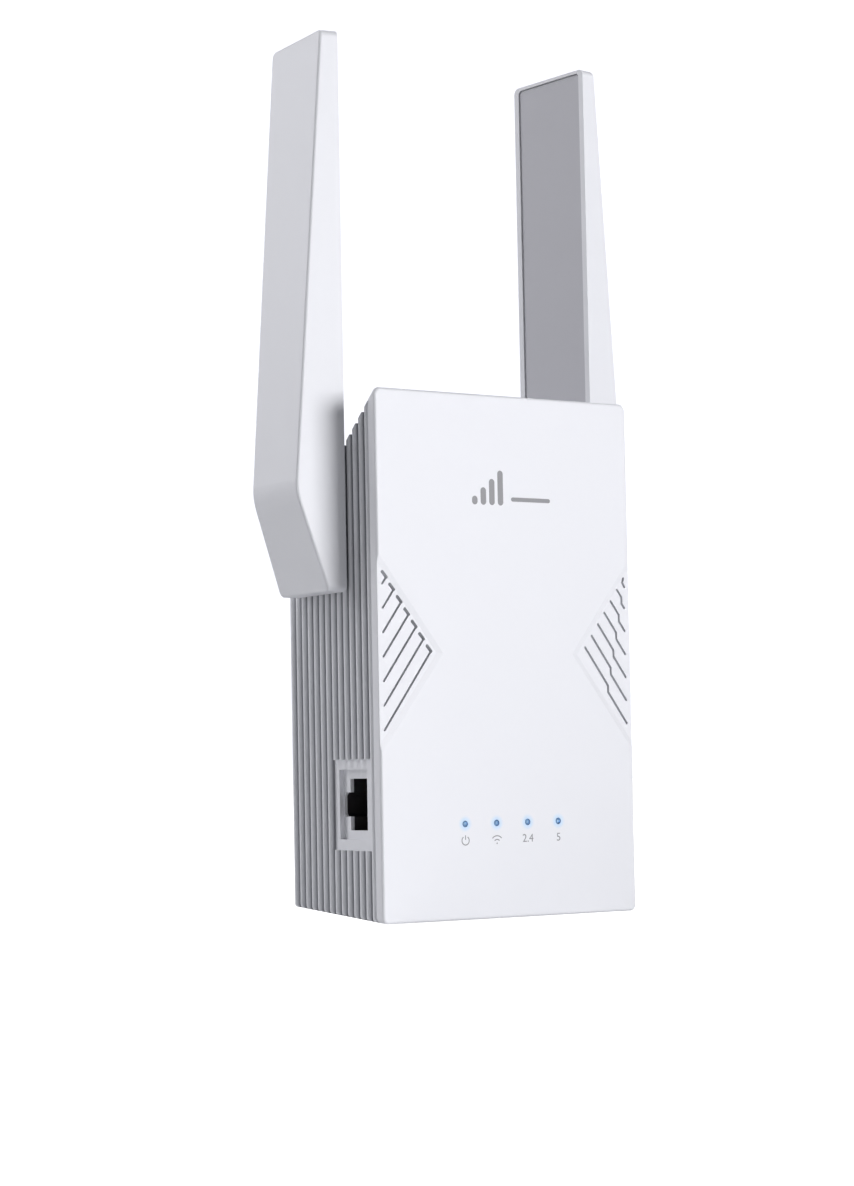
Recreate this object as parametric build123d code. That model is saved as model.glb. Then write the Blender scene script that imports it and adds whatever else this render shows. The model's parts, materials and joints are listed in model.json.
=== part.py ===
from build123d import *
from math import cos, radians, tan
import os

# Wifi range extender that plugs into a wall outlet, in millimetres.
# It is drawn in the case frame: X to the right, Y is the depth behind the front face,
# Z is the height above the bottom of the front face. On export everything moves so that
# the origin lies on the back face, midway between the plug blades.

# ---- driving dimensions of the case ----
WIDTH = 74.0            # across the front face
HEIGHT = 125.2          # of the front face, before its edge is rounded
DEPTH = 46.0            # front face to back face
PLUG_HEIGHT = 29.0      # blade centre above the bottom of the front face
TAPER = 4.5             # each side leans in towards the wall, degrees
BOTTOM_RISE = 0.0554    # rise of the underside per unit of depth
TOP_SLOPE = 0.7465      # fall of the top per unit of depth
BAND = 3.2              # smooth side band of the front cover
RIB_COUNT = 14
RIB_DEPTH = 1.15
GROOVE = 1.3            # gap between two ribs
CROWN = 0.55            # height of a rib's rounded top
WALL = 1.05             # housing wall under the rib valleys
FRONT_PLATE = 2.0
BACK_WALL = 2.0
RIB_PITCH = (DEPTH - BAND) / RIB_COUNT
INNER = RIB_DEPTH + WALL

# ---- aerials, in the side frame: U outward, V depth along the side, Z height ----
AERIAL_GAP = 0.73       # side plane to the aerial's inner face
AERIAL_V0, AERIAL_V1 = 13.7, 40.4
AERIAL_LOW, AERIAL_KINK, AERIAL_TOP = 77.6, 101.3, 211.8
FOOT_THICK, KINK_THICK, TIP_THICK = 4.5, 12.3, 4.4
PIVOT_V, PIVOT_Z = 27.0, 92.0
PANEL_GAP, PANEL_SUNK = 0.22, 0.3   # round the cover panel, and below the aerial's rim
BARREL_R, BARREL_BORE = 4.0, 2.2
BARREL_END = -9.5
RUNNING = 0.05          # radial clearance of the barrel in its boss
LEAD_PLUG = 1.9         # height of the snap-on connector under each lead

# ---- boards ----
BOARD_FRONT, BOARD_BACK = 7.4, 9.0
POWER_FRONT, POWER_BACK = 30.0, 31.6
BOARD_SCREWS = [(-28.5, 11.0), (28.5, 11.0), (-28.5, 104.0), (28.5, 104.0)]
POWER_SCREWS = [(-18.0, 14.0), (18.0, 14.0), (0.0, 78.0)]

# ---- front face ----
LIGHT_PITCH, LIGHT_Z, LIGHT_R = 9.07, 22.5, 0.75
VENT_COUNT = 7
VENT_STEP = (2.03, 2.855)          # from one slot's top end to the next, inwards and down
VENT_TOP = (35.4, 81.4)
VENT_EDGE = 35.45                  # outer end of every slot
VENT_SLOPE = 1.38

# ---- side openings ----
JACK_X = -32.0                     # mouth of the Ethernet socket's own body
JACK_Z = 27.5
BUTTON_V, BUTTON_Z = BAND + 2.5 * RIB_PITCH, 55.0
RESET_Z = 39.0

parts = {}


# ---------- helpers ----------
def half_width(depth):
    return WIDTH / 2 - tan(radians(TAPER)) * depth


def under(depth):
    return BOTTOM_RISE * depth


def over(depth):
    return HEIGHT - TOP_SLOPE * depth


def block(x0, x1, y0, y1, z0, z1):
    """A box between two corners."""
    size = Box(x1 - x0, y1 - y0, z1 - z0)
    return Pos((x0 + x1) / 2, (y0 + y1) / 2, (z0 + z1) / 2) * size


def rod(axis, centre, radius, start, end):
    """A cylinder along X, Y or Z; centre holds the two other coordinates in order."""
    turn = {"X": Rot(0, 90, 0), "Y": Rot(-90, 0, 0), "Z": Rot(0, 0, 0)}[axis]
    middle = (start + end) / 2
    a, b = centre
    place = {"X": Pos(middle, a, b), "Y": Pos(a, middle, b), "Z": Pos(a, b, middle)}[axis]
    return place * turn * Cylinder(radius, end - start)


def plan_prism(edges, low, high):
    """A face drawn in X and Y, raised from low to high."""
    return Pos(0, 0, low) * extrude(make_face(edges), high - low, dir=(0, 0, 1))


def side_prism(edges, half):
    """A face drawn in Y and Z, spread both ways along X."""
    return extrude(Plane.YZ * make_face(edges), half, dir=(1, 0, 0), both=True)


def case_block(near, far, inset=0.0):
    """The case's plain outline between two depths, pulled in on its four sides."""
    a, b = half_width(near) - inset, half_width(far) - inset
    plan = Polyline((-a, near), (a, near), (b, far), (-b, far), close=True)
    drop = inset / cos(radians(36.7))
    side = Polyline((near, under(near) + inset), (far, under(far) + inset),
                    (far, over(far) - drop), (near, over(near) - drop), close=True)
    return plan_prism(plan.edges(), -10, HEIGHT + 10) & side_prism(side.edges(), WIDTH)


def rounded_case(near, far, corner, rim):
    """The case outline with rounded corners and, where rim isn't 0, a rounded front edge."""
    shape = case_block(near, near + DEPTH)
    corners = shape.edges().filter_by(lambda e: abs((e % 0.5).Y) > 0.5)
    shape = fillet(corners, corner)
    if rim:
        shape = fillet(shape.faces().sort_by(Axis.Y)[0].edges(), rim)
    return shape & block(-WIDTH, WIDTH, near - 1, far, -20, HEIGHT + 20)


def rib_profile(level):
    """Round-topped ribs with flat grooves; level(depth, drop) gives a point of the outline."""
    edges = []
    for k in range(RIB_COUNT):
        near, far = BAND + k * RIB_PITCH, BAND + (k + 1) * RIB_PITCH
        rise, fall = near + GROOVE / 2, far - GROOVE / 2
        low_near, low_rise, low_fall, low_far = [level(d, RIB_DEPTH) for d in (near, rise, fall, far)]
        high_rise, high_fall = level(rise, CROWN), level(fall, CROWN)
        crown = ThreePointArc(high_rise, level((near + far) / 2, 0), high_fall)
        edges += [Line(low_near, low_rise), Line(low_rise, high_rise), crown,
                  Line(high_fall, low_fall), Line(low_fall, low_far)]
    return edges


def closed(first, second):
    """Two open runs of edges that face each other, joined into one loop."""
    near = Line(first[0] @ 0, second[0] @ 0)
    far = Line(first[-1] @ 1, second[-1] @ 1)
    return [*first, *second, near, far]


def on_right(shape):
    """From the side frame, with U along X and V along Y, to the right side of the case."""
    return Pos(WIDTH / 2, 0, 0) * Rot(0, 0, TAPER) * shape


def on_side(shape, side):
    """The same on the left side, where side is -1, or on the right side, where it is 1."""
    placed = on_right(shape)
    return placed if side > 0 else mirror(placed, about=Plane.YZ)


def on_aerial(shape, side):
    """From the aerial's frame, whose U starts at its inner face, to the case frame."""
    return on_side(Pos(AERIAL_GAP, 0, 0) * shape, side)


# ---------- front cover ----------
def left_slot(k):
    """A short hook beside the field's edge, then a long leg down towards the rim."""
    x, z = VENT_TOP[0] - VENT_STEP[0] * k, VENT_TOP[1] - VENT_STEP[1] * k
    corner = (x - 1.04, z - 1.22)
    foot = (VENT_EDGE, corner[1] - VENT_SLOPE * (VENT_EDGE - corner[0]))
    return [(-x, z), (-corner[0], corner[1])], [(-corner[0], corner[1]), (-foot[0], foot[1])]


def right_slot(k):
    """A leg down towards the rim with one short upright jog in it."""
    x, z = VENT_TOP[0] - VENT_STEP[0] * k, VENT_TOP[1] - VENT_STEP[1] * k
    if k == 0:
        return [(x, z), (x - 0.35, z - 1.1), (x + 0.25, z - 2.1)]
    jog = 34.7 - 0.955 * (k - 1)
    high = z - VENT_SLOPE * (jog - x)
    low = high - 1.55
    return [(x, z), (jog, high), (jog, low), (VENT_EDGE, low - VENT_SLOPE * (VENT_EDGE - jog))]


def slot_cut(points, width):
    """A round-ended slot along a polyline in X and Z, through the front plate."""
    cutters = []
    for (x0, z0), (x1, z1) in zip(points, points[1:]):
        run = Line((x0, z0), (x1, z1))
        web = Plane(origin=(0, 0, 0), x_dir=(1, 0, 0), z_dir=(0, -1, 0)) * make_face(
            trace(run, width).face().outer_wire().edges())
        cutters.append(extrude(web, FRONT_PLATE * 2, dir=(0, 1, 0), both=True))
    for x, z in points:
        cutters.append(rod("Y", (x, z), width / 2, -FRONT_PLATE * 2, FRONT_PLATE * 2))
    return cutters


def vent_field(side):
    """The shallow three-cornered field that the slots lie in, with sloping walls."""
    deep = 0.35
    reach = WIDTH / 2 + 2
    outer = [(reach, 88.9), (18.9, 62.6), (reach, 36.3)]
    inner = [(reach, 86.6), (20.6, 62.6), (reach, 38.6)]
    faces = []
    for points, depth in ((outer, -0.01), (inner, deep)):
        loop = Polyline(*[(side * x, depth, z) for x, z in points], close=True)
        faces.append(make_face(loop.edges()))
    return loft(faces)


def front_cover():
    cover = rounded_case(0, BAND, 1.5, 0.7) - case_block(FRONT_PLATE, BAND + 1, 2.0)
    lip = case_block(FRONT_PLATE - 0.5, 6.2, INNER + 0.1) - case_block(FRONT_PLATE - 1, 7, 3.5)
    cover = cover + lip
    for side in (-1, 1):
        cover = cover - vent_field(side)
    for k in range(VENT_COUNT):
        hook, leg = left_slot(k)
        cover = cover - slot_cut(hook, 0.85) - slot_cut(leg, 0.55)
        cover = cover - slot_cut(right_slot(k), 0.62)
    for x in light_places():
        cover = cover - rod("Y", (x, LIGHT_Z), LIGHT_R + 0.05, -1, 5)
    return cover


def light_places():
    return [(k - 1.5) * LIGHT_PITCH for k in range(4)]


def light_pipes():
    """Four clear pins on one bar behind the front plate."""
    pins = block(-15.5, 15.5, 2.2, 3.4, LIGHT_Z - 1.2, LIGHT_Z + 1.2)
    for x in light_places():
        pins = pins + rod("Y", (x, LIGHT_Z), LIGHT_R, 0.05, 6.4)
    return pins


# ---------- rear housing ----------
def ribbed_block():
    """Ribs down both sides and over the slanting top; the underside is plain."""
    plan = closed(rib_profile(lambda d, drop: (drop - half_width(d), d)),
                  rib_profile(lambda d, drop: (half_width(d) - drop, d)))
    side = closed([Line((BAND, under(BAND)), (DEPTH, under(DEPTH)))],
                  rib_profile(lambda d, drop: (d, over(d) - drop * 1.25)))
    ribs = plan_prism(plan, -10, HEIGHT + 10) & side_prism(side, WIDTH)
    return ribs & rounded_case(BAND - 1, DEPTH + 1, 1.5, 0)


def socket_hole(x0, x1, grow=0.0):
    """The plug-shaped mouth: a wide body and a narrower latch step behind it."""
    body = block(x0, x1, 11.0 - grow, 19.3 + grow, JACK_Z - 6.1 - grow, JACK_Z + 6.1 + grow)
    latch = block(x0, x1, 19.0, 22.3 + grow, JACK_Z - 2.85 - grow, JACK_Z + 2.85 + grow)
    corners = latch.edges().filter_by(Axis.X).sort_by(Axis.Y)[2:]
    return body + chamfer(corners, 0.8)


def oblong(centre_v, centre_z, width, height, u0, u1):
    """A round-ended block in the side frame."""
    body = block(u0, u1, centre_v - width / 2, centre_v + width / 2,
                 centre_z - height / 2, centre_z + height / 2)
    return fillet(body.edges().filter_by(Axis.X), width * 0.495)


def rear_housing():
    shell = ribbed_block() - case_block(BAND - 1, DEPTH - BACK_WALL, INNER)
    inside = case_block(BAND, DEPTH - 1, 1.2)

    # thicker wall behind the Ethernet pocket, flat towards the socket
    shell = shell + (inside & block(-40, JACK_X - 0.1, 7.2, 24.4, 18.2, 36.9))
    pocket = block(-1.2, 5, BAND + RIB_PITCH, BAND + 7 * RIB_PITCH, 16.8, 38.1)
    step = block(-2.4, 5, 9.0, 22.8, 19.3, 35.8)
    shell = shell - on_side(pocket, -1) - on_side(step, -1) - socket_hole(-50, -20)

    # flat pocket, oblong hole and pinhole for the two keys on the right side
    pocket = block(-1.2, 5, BAND + RIB_PITCH, BAND + 4 * RIB_PITCH, 46.0, 64.0)
    hole = oblong(BUTTON_V, BUTTON_Z, 4.8, 12.4, -6, 5)
    pinhole = rod("X", (BUTTON_V, RESET_Z), 0.8, -6, 5)
    dimple = rod("X", (BUTTON_V, RESET_Z), 1.7, -0.9, 5)
    for cutter in (pocket, hole, pinhole, dimple):
        shell = shell - on_side(cutter, 1)

    # hinge pads and bosses
    for side in (-1, 1):
        pad = rod("X", (PIVOT_V, PIVOT_Z), 10.0, -2.3, 0.45)
        boss = rod("X", (PIVOT_V, PIVOT_Z), 7.5, -6.5, -1.5)
        shell = shell + on_side(pad, side) + on_side(boss, side)
        shell = shell - on_side(rod("X", (PIVOT_V, PIVOT_Z), BARREL_R + RUNNING, -8, 3), side)

    # screw posts for the boards
    for x, z in BOARD_SCREWS:
        shell = shell + (inside & rod("Y", (x, z), 3.0, BOARD_BACK, DEPTH - 1))
        shell = shell - rod("Y", (x, z), 1.15, BOARD_BACK - 1, BOARD_BACK + 8)
    for x, z in POWER_SCREWS:
        shell = shell + rod("Y", (x, z), 2.8, POWER_BACK, DEPTH - 1)
        shell = shell - rod("Y", (x, z), 1.15, POWER_BACK - 1, POWER_BACK + 8)

    # seat of the plug base, and a shallow seat for the rating label
    shell = shell - block(-13, 13, DEPTH - 3, DEPTH + 1, PLUG_HEIGHT - 9, PLUG_HEIGHT + 9)
    return shell - block(-20, 20, DEPTH - 0.2, DEPTH + 1, 46, 76)


# ---------- plug ----------
def blade(x, height):
    """A flat contact blade with a cropped tip and a hole near it."""
    body = block(x - 0.76, x + 0.76, POWER_BACK, DEPTH + 16.0,
                 PLUG_HEIGHT - height / 2, PLUG_HEIGHT + height / 2)
    tip = body.faces().sort_by(Axis.Y)[-1].edges()
    body = chamfer(tip.filter_by(Axis.X), 1.4)
    return body - rod("X", (DEPTH + 11.9, PLUG_HEIGHT), 1.6, x - 2, x + 2)


def plug_base(blades):
    base = block(-12.95, 12.95, DEPTH - 5, DEPTH, PLUG_HEIGHT - 8.95, PLUG_HEIGHT + 8.95)
    base = base + block(-15, 15, DEPTH - 5, DEPTH - BACK_WALL - 1, PLUG_HEIGHT - 11, PLUG_HEIGHT + 11)
    for piece in blades:
        base = base - piece
    return base


# ---------- boards and what they carry ----------
def screw(x, z, head_front, length):
    """A pan-head screw along +Y with a cross recess in its head."""
    body = rod("Y", (x, z), 1.1, head_front + 1.6, head_front + 1.6 + length)
    head = rod("Y", (x, z), 2.3, head_front, head_front + 1.6)
    head = fillet(head.edges().sort_by(Axis.Y)[0], 0.6)
    cross = block(x - 1.2, x + 1.2, head_front - 1, head_front + 0.8, z - 0.25, z + 0.25)
    cross = cross + block(x - 0.25, x + 0.25, head_front - 1, head_front + 0.8, z - 1.2, z + 1.2)
    return body + head - cross


def main_board():
    board = block(-32.5, 32.5, BOARD_FRONT, BOARD_BACK, 7.0, 110.0)
    board = board - block(31.0, 40, BOARD_FRONT - 1, BOARD_BACK + 1, BUTTON_Z - 8, BUTTON_Z + 8)
    board = board - block(-40, JACK_X + 0.1, BOARD_FRONT - 1, BOARD_BACK + 1, JACK_Z - 10, JACK_Z + 10)
    for x, z in BOARD_SCREWS:
        board = board - rod("Y", (x, z), 1.5, BOARD_FRONT - 1, BOARD_BACK + 1)
    return board


def power_board():
    board = block(-24, 24, POWER_FRONT, POWER_BACK, 8.5, 83.0)
    for x, z in POWER_SCREWS:
        board = board - rod("Y", (x, z), 1.5, POWER_FRONT - 1, POWER_BACK + 1)
    return board


def main_chips():
    """Magnetics beside the socket, memory, and two regulators."""
    places = [(-29, -17, 2.6, 39, 47), (-27, -20, 1.1, 52, 57), (-26, -19.5, 1.4, 62, 68),
              (19, 24, 1.2, 72, 77), (20, 24, 1.0, 82, 86)]
    return [block(x0, x1, BOARD_BACK, BOARD_BACK + tall, z0, z1) for x0, x1, tall, z0, z1 in places]


def shield(z0, z1):
    """A pressed can, open towards the board."""
    can = block(-14, 14, BOARD_BACK, BOARD_BACK + 2.2, z0, z1)
    can = fillet(can.faces().sort_by(Axis.Y)[-1].edges(), 0.4)
    return can - block(-13.7, 13.7, BOARD_BACK - 1, BOARD_BACK + 1.9, z0 + 0.3, z1 - 0.3)


def heat_sink():
    """A finned aluminium block on the larger can."""
    base_front = BOARD_BACK + 2.2 + 0.5
    sink = block(-13, 13, base_front, base_front + 1.5, 65, 89)
    for k in range(9):
        x = -12.4 + k * 3.1
        sink = sink + block(x - 0.6, x + 0.6, base_front + 1, base_front + 6.5, 65, 89)
    return sink


def ethernet_jack():
    """The socket's moulded body, standing on the back of the main board."""
    body = block(JACK_X, JACK_X + 15.5, BOARD_BACK, 23.2, JACK_Z - 8.1, JACK_Z + 8.1)
    return body - socket_hole(JACK_X - 5, JACK_X + 13, grow=0.1)


def jack_contacts():
    """Eight sprung wires on the socket's board side."""
    wires = []
    for k in range(8):
        z = JACK_Z + (k - 3.5) * 1.02
        flat = block(JACK_X + 2.0, JACK_X + 12.9, 10.95, 11.25, z - 0.2, z + 0.2)
        rise = Pos(JACK_X + 5.0, 12.03, z) * Rot(0, 0, 18) * Box(6.0, 0.3, 0.4)
        wires.append(flat + rise)
    return wires


def switch_case(z, far_x):
    """A right-angle tactile switch on the back of the main board, open for its plunger."""
    case = block(far_x - 4.0, far_x, BOARD_BACK, BOARD_BACK + 3.6, z - 3.0, z + 3.0)
    return case - rod("X", (BUTTON_V, z), 1.1, far_x - 2.5, far_x + 1)


def transformer_core():
    """Two E-shaped ferrite halves round the bobbin."""
    core = block(1, 19, 14.6, 29.8, 43, 59)
    windows = [block(0, 4.4, 16.8, 27.6, 40, 62), block(15.6, 20, 16.8, 27.6, 40, 62)]
    return core - windows


def transformer_winding():
    """The bobbin's flanges and the taped winding between them, on either side of the core."""
    bulk = block(4.4, 15.6, 17.0, 27.4, 40.5, 42.9)
    return [bulk, Pos(0, 0, 18.6) * bulk]


def bulk_capacitors():
    """Electrolytic cans that stand on the power board."""
    cans = []
    for x, z, radius, tall in ((-10, 45, 5.0, 15.0), (-10, 57, 5.0, 15.0), (-12, 68, 4.0, 11.0)):
        can = rod("Y", (x, z), radius, POWER_FRONT - tall, POWER_FRONT)
        can = fillet(can.edges().filter_by(GeomType.CIRCLE).sort_by(Axis.Y)[0], 0.7)
        cans.append(can)
    return cans


def line_choke():
    """A wound ring lying on the power board."""
    ring = rod("Y", (10, 26), 6.5, 22.5, POWER_FRONT) - rod("Y", (10, 26), 2.4, 20, 40)
    return fillet(ring.edges().filter_by(GeomType.CIRCLE), 0.9)


def supply_header():
    """A four-pin header that joins the two boards."""
    base = block(17, 27, BOARD_BACK, BOARD_BACK + 2.5, 65, 68)
    for k in range(4):
        x = 18.2 + k * 2.54
        pin = block(x - 0.32, x + 0.32, BOARD_BACK, POWER_FRONT, 66.5 - 0.32, 66.5 + 0.32)
        base = base + pin
    return base


# ---------- keys ----------
def pairing_button():
    """A round-ended cap, the flange that keeps it in the case, and its stem."""
    cap = oblong(BUTTON_V, BUTTON_Z, 4.4, 12.0, -3.0, -0.2)
    cap = fillet(cap.faces().sort_by(Axis.X)[-1].edges(), 0.5)
    flange = block(-3.6, -2.5, BUTTON_V - 3.0, BUTTON_V + 3.0, BUTTON_Z - 7.0, BUTTON_Z + 7.0)
    return on_side(cap + flange, 1)


def plunger(z, start, end, radius=0.9):
    return rod("X", (BUTTON_V, z), radius, start, end)


# ---------- aerials ----------
def aerial_solid(trim=0.0, u0=0.0, low=0.0, top=0.0):
    """The paddle's tapered, kinked outline, pulled in by trim all round."""
    slope_up = (KINK_THICK - TIP_THICK) / (AERIAL_TOP - AERIAL_KINK)
    slope_down = (KINK_THICK - FOOT_THICK) / (AERIAL_KINK - AERIAL_LOW)
    z0, z1 = AERIAL_LOW + low, AERIAL_TOP - top
    thick0 = FOOT_THICK + slope_down * low - trim
    thick1 = TIP_THICK + slope_up * top - trim
    profile = Polyline((u0, z0), (thick0, z0), (KINK_THICK - trim, AERIAL_KINK),
                       (thick1, z1), (u0, z1), close=True)
    face = make_face(profile.edges())
    kink = face.vertices().sort_by(Axis.X)[-1]
    face = fillet(kink, 14.0)
    upright = Plane(origin=(0, 0, 0), x_dir=(1, 0, 0), z_dir=(0, -1, 0)) * face
    slab = extrude(upright, AERIAL_V1, dir=(0, 1, 0))
    v0, v1 = AERIAL_V0 + trim, AERIAL_V1 - trim
    plan = Polyline((-1, v0 - 0.12), (14, v0 + 0.12 * 14), (14, v1 - 0.14 * 14), (-1, v1 + 0.14), close=True)
    return slab & plan_prism(plan.edges(), AERIAL_LOW - 5, AERIAL_TOP + 5)


def aerial_shell():
    body = aerial_solid()
    corners = body.edges().filter_by(lambda e: abs((e % 0.5).X) > 0.7)
    body = fillet(corners, 1.6)
    outer = body.faces().filter_by(lambda f: f.normal_at().X > 0.3).edges()
    body = fillet(outer, 0.7)
    panel_seat = panel_block(PANEL_GAP, -1, 1.7)
    hollow = aerial_solid(trim=1.5, u0=1.0, low=3.2, top=2.4) & panel_block(-1.0, 0, 20)
    return body - panel_seat - hollow


def panel_block(grow, u0, u1):
    """The inset cover panel's outline in the aerial's inner face."""
    seat = block(u0, u1, AERIAL_V0 + 1.9 - grow, AERIAL_V1 - 1.9 + grow,
                 AERIAL_LOW + 1.8 - grow, AERIAL_TOP - 1.0 + grow)
    return fillet(seat.edges().filter_by(Axis.X), 1.0)


def aerial_panel():
    panel = panel_block(0.0, PANEL_SUNK, 1.6)
    return panel - rod("X", (PIVOT_V, PIVOT_Z), BARREL_R + 0.1, -1, 3)


def hinge_barrel():
    """A hollow pivot on a flange that sits behind the panel, grooved for its ring."""
    tube = rod("X", (PIVOT_V, PIVOT_Z), BARREL_R, BARREL_END - AERIAL_GAP, 1.7)
    flange = rod("X", (PIVOT_V, PIVOT_Z), 8.5, 1.7, 3.2)
    groove = rod("X", (PIVOT_V, PIVOT_Z), BARREL_R + 1, -8.9, -8.1)
    groove = groove - rod("X", (PIVOT_V, PIVOT_Z), 3.3, -10, -7)
    return tube + flange - groove - rod("X", (PIVOT_V, PIVOT_Z), BARREL_BORE, -20, 5)


def hinge_ring():
    """An open retaining ring in the barrel's groove."""
    ring = rod("X", (PIVOT_V, PIVOT_Z), 6.2, -8.85, -8.15)
    ring = ring - rod("X", (PIVOT_V, PIVOT_Z), 3.3, -10, -7)
    return ring - block(-10, -7, PIVOT_V - 1.5, PIVOT_V + 1.5, PIVOT_Z - 8, PIVOT_Z - 2)


def hinge_washer():
    """The spring washer between the boss and the ring."""
    return rod("X", (PIVOT_V, PIVOT_Z), 6.5, -8.05 + AERIAL_GAP, -6.5) - \
        rod("X", (PIVOT_V, PIVOT_Z), BARREL_R + 0.3, -10, -5)


def aerial_board():
    return block(1.75, 2.55, 21.0, 33.0, 103.5, 196.0)


def feed_lead():
    """The lead inside the aerial, from the pivot up to the aerial's board."""
    start, turn, end = (4.4, PIVOT_V, PIVOT_Z), (4.4, PIVOT_V, PIVOT_Z + 6), (3.2, PIVOT_V, 108.0)
    path = FilletPolyline(start, turn, end, radius=8)
    return tube_along(path, 0.6)


def coax_lead(side):
    """From the aerial's pivot through the barrel to the connector on the main board."""
    start = on_side(Pos(AERIAL_GAP + 3.4, PIVOT_V, PIVOT_Z) * Sphere(0.1), side).center()
    turn = on_side(Pos(-18.0, PIVOT_V, PIVOT_Z) * Sphere(0.1), side).center()
    end = Vector(turn.X, BOARD_BACK + LEAD_PLUG, PIVOT_Z)
    return tube_along(FilletPolyline(start, turn, end, radius=6), 0.6)


def tube_along(path, radius):
    start = path @ 0
    ring = Plane(origin=start, z_dir=path % 0) * Circle(radius)
    return sweep(ring, path=path)


def coax_plug(side):
    """The small snap-on connector under a lead's end."""
    turn = on_side(Pos(-18.0, PIVOT_V, PIVOT_Z) * Sphere(0.1), side).center()
    return rod("Y", (turn.X, PIVOT_Z), 1.4, BOARD_BACK, BOARD_BACK + LEAD_PLUG)


# ---------- all the pieces ----------
blades = [blade(-6.35, 7.94), blade(6.35, 6.35)]
parts["front_cover"] = front_cover()
parts["rear_housing"] = rear_housing()
parts["plug_base"] = plug_base(blades)
parts["neutral_blade"], parts["line_blade"] = blades
parts["light_pipes"] = light_pipes()
parts["status_lights"] = [block(x - 0.8, x + 0.8, 6.5, BOARD_FRONT, LIGHT_Z - 0.5, LIGHT_Z + 0.5)
                          for x in light_places()]
parts["main_board"] = main_board()
parts["main_chips"] = main_chips()
parts["radio_shields"] = [shield(64, 90), shield(92.5, 107)]
parts["thermal_pad"] = block(-12, 12, BOARD_BACK + 2.2, BOARD_BACK + 2.7, 66, 88)
parts["heat_sink"] = heat_sink()
parts["ethernet_jack"] = ethernet_jack()
parts["jack_contacts"] = jack_contacts()
parts["power_board"] = power_board()
parts["transformer_core"] = transformer_core()
parts["transformer_winding"] = transformer_winding()
parts["bulk_capacitors"] = bulk_capacitors()
parts["line_choke"] = line_choke()
parts["film_capacitor"] = fillet(block(16, 22, 20, POWER_FRONT, 33.5, 40).edges(), 0.5)
parts["bridge_rectifier"] = block(-7, 1, 26.5, POWER_FRONT, 31, 36)
parts["fuse"] = rod("Z", (21.2, 28.0), 2.0, 19, 29.5)
parts["supply_header"] = supply_header()
parts["insulating_sheet"] = block(-15, 23, 12.6, 13.0, 9, 61)
parts["board_screws"] = [screw(x, z, BOARD_FRONT - 1.6, 6.0) for x, z in BOARD_SCREWS] + \
                        [screw(x, z, POWER_FRONT - 1.6, 6.0) for x, z in POWER_SCREWS]
parts["rating_label"] = block(-19.8, 19.8, DEPTH - 0.2, DEPTH - 0.08, 46.2, 75.8)

parts["pairing_button"] = pairing_button()
parts["pairing_switch"] = switch_case(BUTTON_Z, 28.5)
parts["pairing_plunger"] = plunger(BUTTON_Z, 27.3, 32.45)
parts["reset_switch"] = switch_case(RESET_Z, 30.0)
parts["reset_plunger"] = plunger(RESET_Z, 28.2, 31.8)

for name, side in (("left", -1), ("right", 1)):
    parts["aerial_shell_" + name] = on_aerial(aerial_shell(), side)
    parts["aerial_panel_" + name] = on_aerial(aerial_panel(), side)
    parts["aerial_board_" + name] = on_aerial(aerial_board(), side)
    parts["feed_lead_" + name] = on_aerial(feed_lead(), side)
    parts["hinge_barrel_" + name] = on_aerial(hinge_barrel(), side)
    parts["hinge_ring_" + name] = on_aerial(hinge_ring(), side)
    parts["hinge_washer_" + name] = on_side(hinge_washer(), side)
    parts["coax_lead_" + name] = coax_lead(side)
parts["coax_plugs"] = [coax_plug(-1), coax_plug(1)]

# ---------- export, with the origin on the back face between the blades ----------
to_origin = Pos(0, -DEPTH, -PLUG_HEIGHT)
os.makedirs("parts", exist_ok=True)
for name, shape in parts.items():
    solids = shape if isinstance(shape, list) else [shape]
    moved = [to_origin * solid for solid in solids]
    export_step(moved[0] if len(moved) == 1 else Compound(children=moved), f"parts/{name}.step")
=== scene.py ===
# %% [markdown]
# # A plug-in wifi range extender, dressed for its portrait
# The CAD model brings every piece in its place, in metres: +X right, +Y into the wall, +Z up, with the
# origin on the back face between the plug blades. This lesson gives each piece the finish of the real
# one, and models what is too small or too many for CAD: printed marks, lamp lenses, wire turns, chip
# legs. Most of it is placed from the frame's own boxes, so that it follows the CAD model.

# %% Load the frame
import json
from math import cos, pi, radians, sin, tan

import bmesh
import bpy
from mathutils import Matrix, Vector


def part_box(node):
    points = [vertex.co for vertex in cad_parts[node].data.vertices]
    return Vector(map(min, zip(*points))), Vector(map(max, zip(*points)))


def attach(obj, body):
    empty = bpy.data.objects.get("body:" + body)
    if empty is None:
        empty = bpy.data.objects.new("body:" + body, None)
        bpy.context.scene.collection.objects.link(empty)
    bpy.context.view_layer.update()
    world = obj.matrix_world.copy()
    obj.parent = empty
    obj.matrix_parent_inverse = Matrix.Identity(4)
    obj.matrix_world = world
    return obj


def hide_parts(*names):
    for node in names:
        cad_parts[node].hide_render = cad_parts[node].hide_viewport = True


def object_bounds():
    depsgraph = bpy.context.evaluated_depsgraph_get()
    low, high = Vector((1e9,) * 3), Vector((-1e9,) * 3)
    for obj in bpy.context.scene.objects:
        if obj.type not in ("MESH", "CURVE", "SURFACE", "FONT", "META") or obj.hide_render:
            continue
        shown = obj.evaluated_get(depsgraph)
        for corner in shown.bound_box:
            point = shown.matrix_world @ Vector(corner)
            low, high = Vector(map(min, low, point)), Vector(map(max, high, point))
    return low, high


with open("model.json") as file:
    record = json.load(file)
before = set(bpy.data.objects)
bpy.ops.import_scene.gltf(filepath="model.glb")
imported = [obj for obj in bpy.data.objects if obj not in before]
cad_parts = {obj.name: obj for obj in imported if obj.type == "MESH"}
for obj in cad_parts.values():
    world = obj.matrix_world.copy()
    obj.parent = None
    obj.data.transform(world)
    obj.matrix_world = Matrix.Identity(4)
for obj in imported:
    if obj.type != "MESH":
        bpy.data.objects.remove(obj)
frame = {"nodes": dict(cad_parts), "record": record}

MM = 0.001
scene = bpy.context.scene
nodes = frame["nodes"]
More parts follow.
